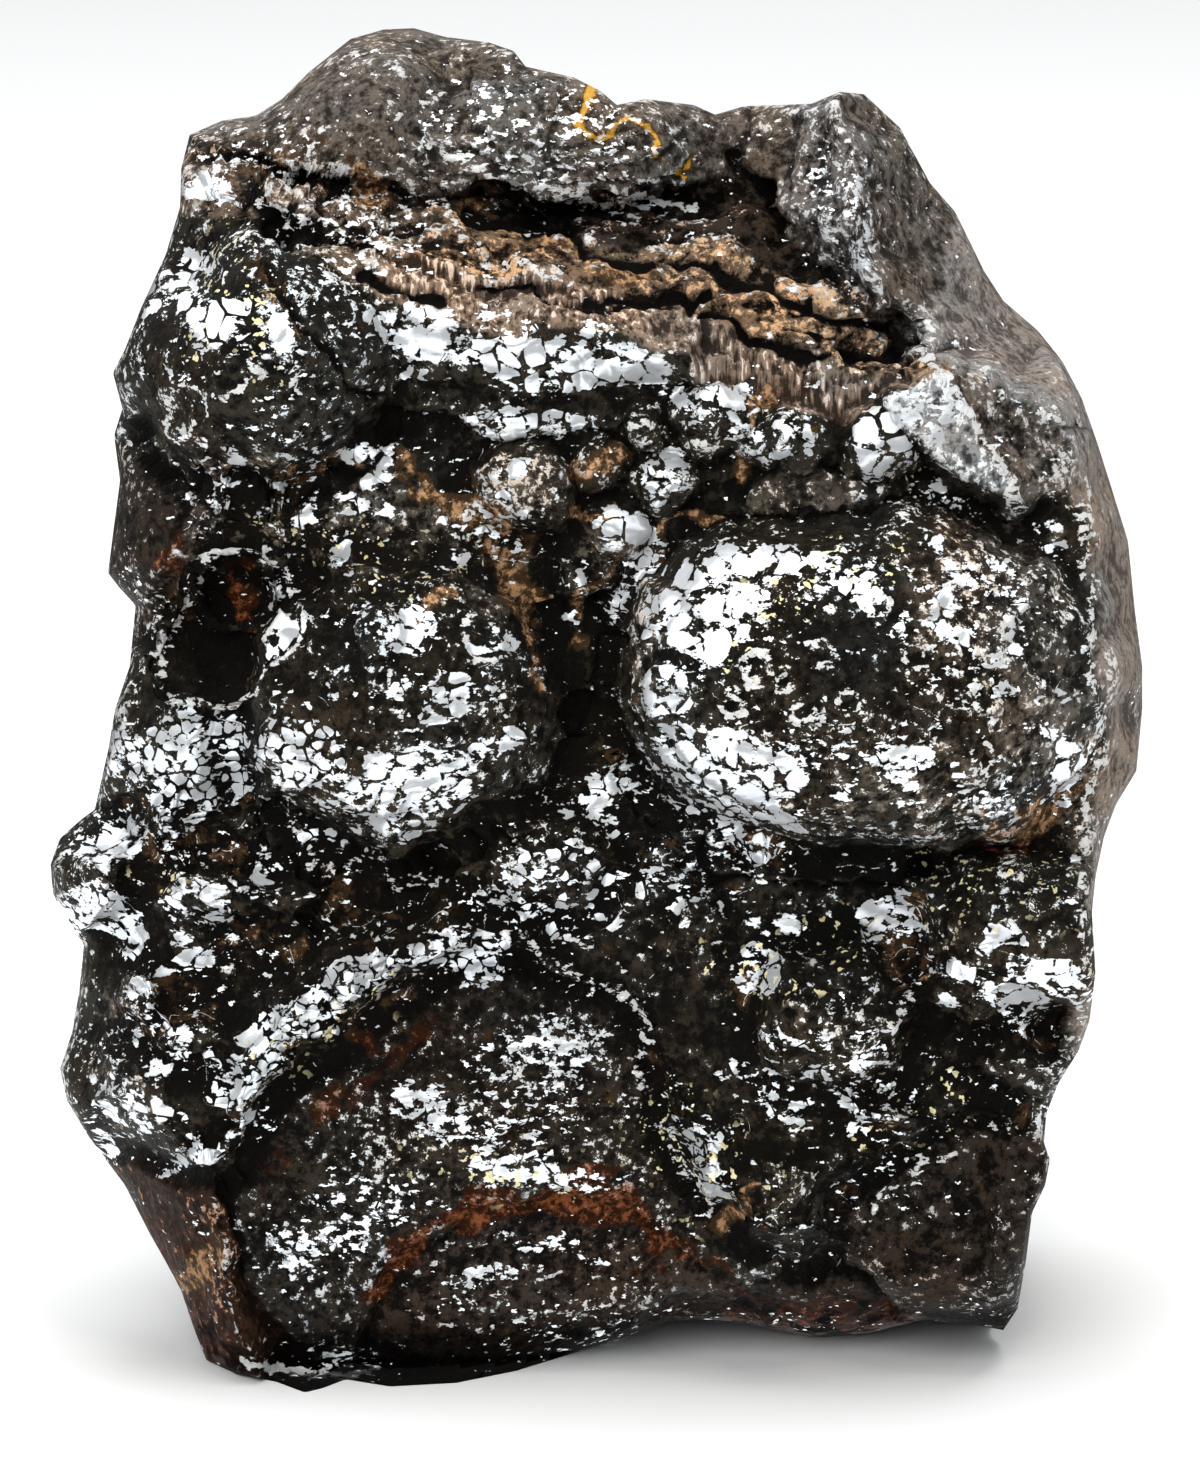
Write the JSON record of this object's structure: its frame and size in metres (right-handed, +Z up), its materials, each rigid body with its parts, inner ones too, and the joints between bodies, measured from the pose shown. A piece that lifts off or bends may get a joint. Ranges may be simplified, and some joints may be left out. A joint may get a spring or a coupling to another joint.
{
  "type": "botryoidal hematite specimen",
  "caption": "Rough hand specimen of black botryoidal hematite with grape-like glossy domes, broken shells and rusty recesses, standing on its flat broken foot.",
  "frame": {"origin": "bottom centre of the bounding box, on the surface the specimen stands on", "axes": "+Z up the specimen, -Y out of the botryoidal face, +X to the right of that face seen from the front"},
  "size_m": [0.093, 0.0606, 0.1105],
  "materials": {
    "hematite": "glossy black mineral crust with mirror-like domes, brown-grey matt rind and rusty orange breaks"
  },
  "bodies": {
    "root": {"hematite_specimen": "hematite"}
  },
  "joints": []
}
